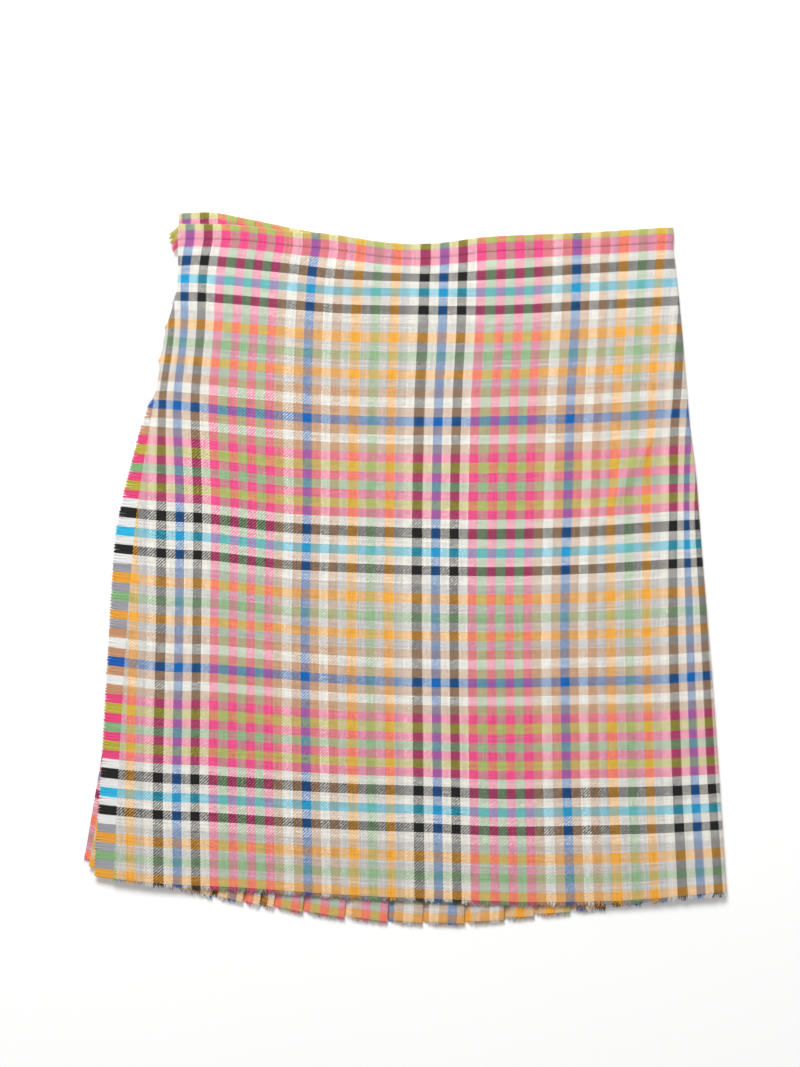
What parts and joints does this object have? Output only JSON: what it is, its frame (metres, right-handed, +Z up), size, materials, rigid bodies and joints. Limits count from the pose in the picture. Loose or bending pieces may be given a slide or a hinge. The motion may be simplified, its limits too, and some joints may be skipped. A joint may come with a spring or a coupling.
{
  "type": "plaid wrap skirt",
  "caption": "Knife-pleated A-line wrap skirt laid flat, front up: narrow waistband, plain over apron with a fringed vertical edge and a frayed hem, pleated back under it",
  "frame": {"origin": "The middle of the skirt's box, on the surface that it lies on.", "axes": "+Z is up from the surface, out of the front of the skirt. +Y runs from the hem to the waist. +X runs from the fringed edge to the plain side fold."},
  "size_m": [0.4898, 0.5436, 0.0107],
  "materials": {
    "wool_check": "matte",
    "waistband_wool": "matte",
    "fringe_yarn": "matte"
  },
  "bodies": {
    "root": {"over_apron": "wool_check", "under_apron": "wool_check", "pleated_back": "wool_check", "waistband_front": "waistband_wool", "waistband_back": "waistband_wool", "fringe_apron_edge": "fringe_yarn", "fringe_front_hem": "fringe_yarn"}
  },
  "joints": []
}
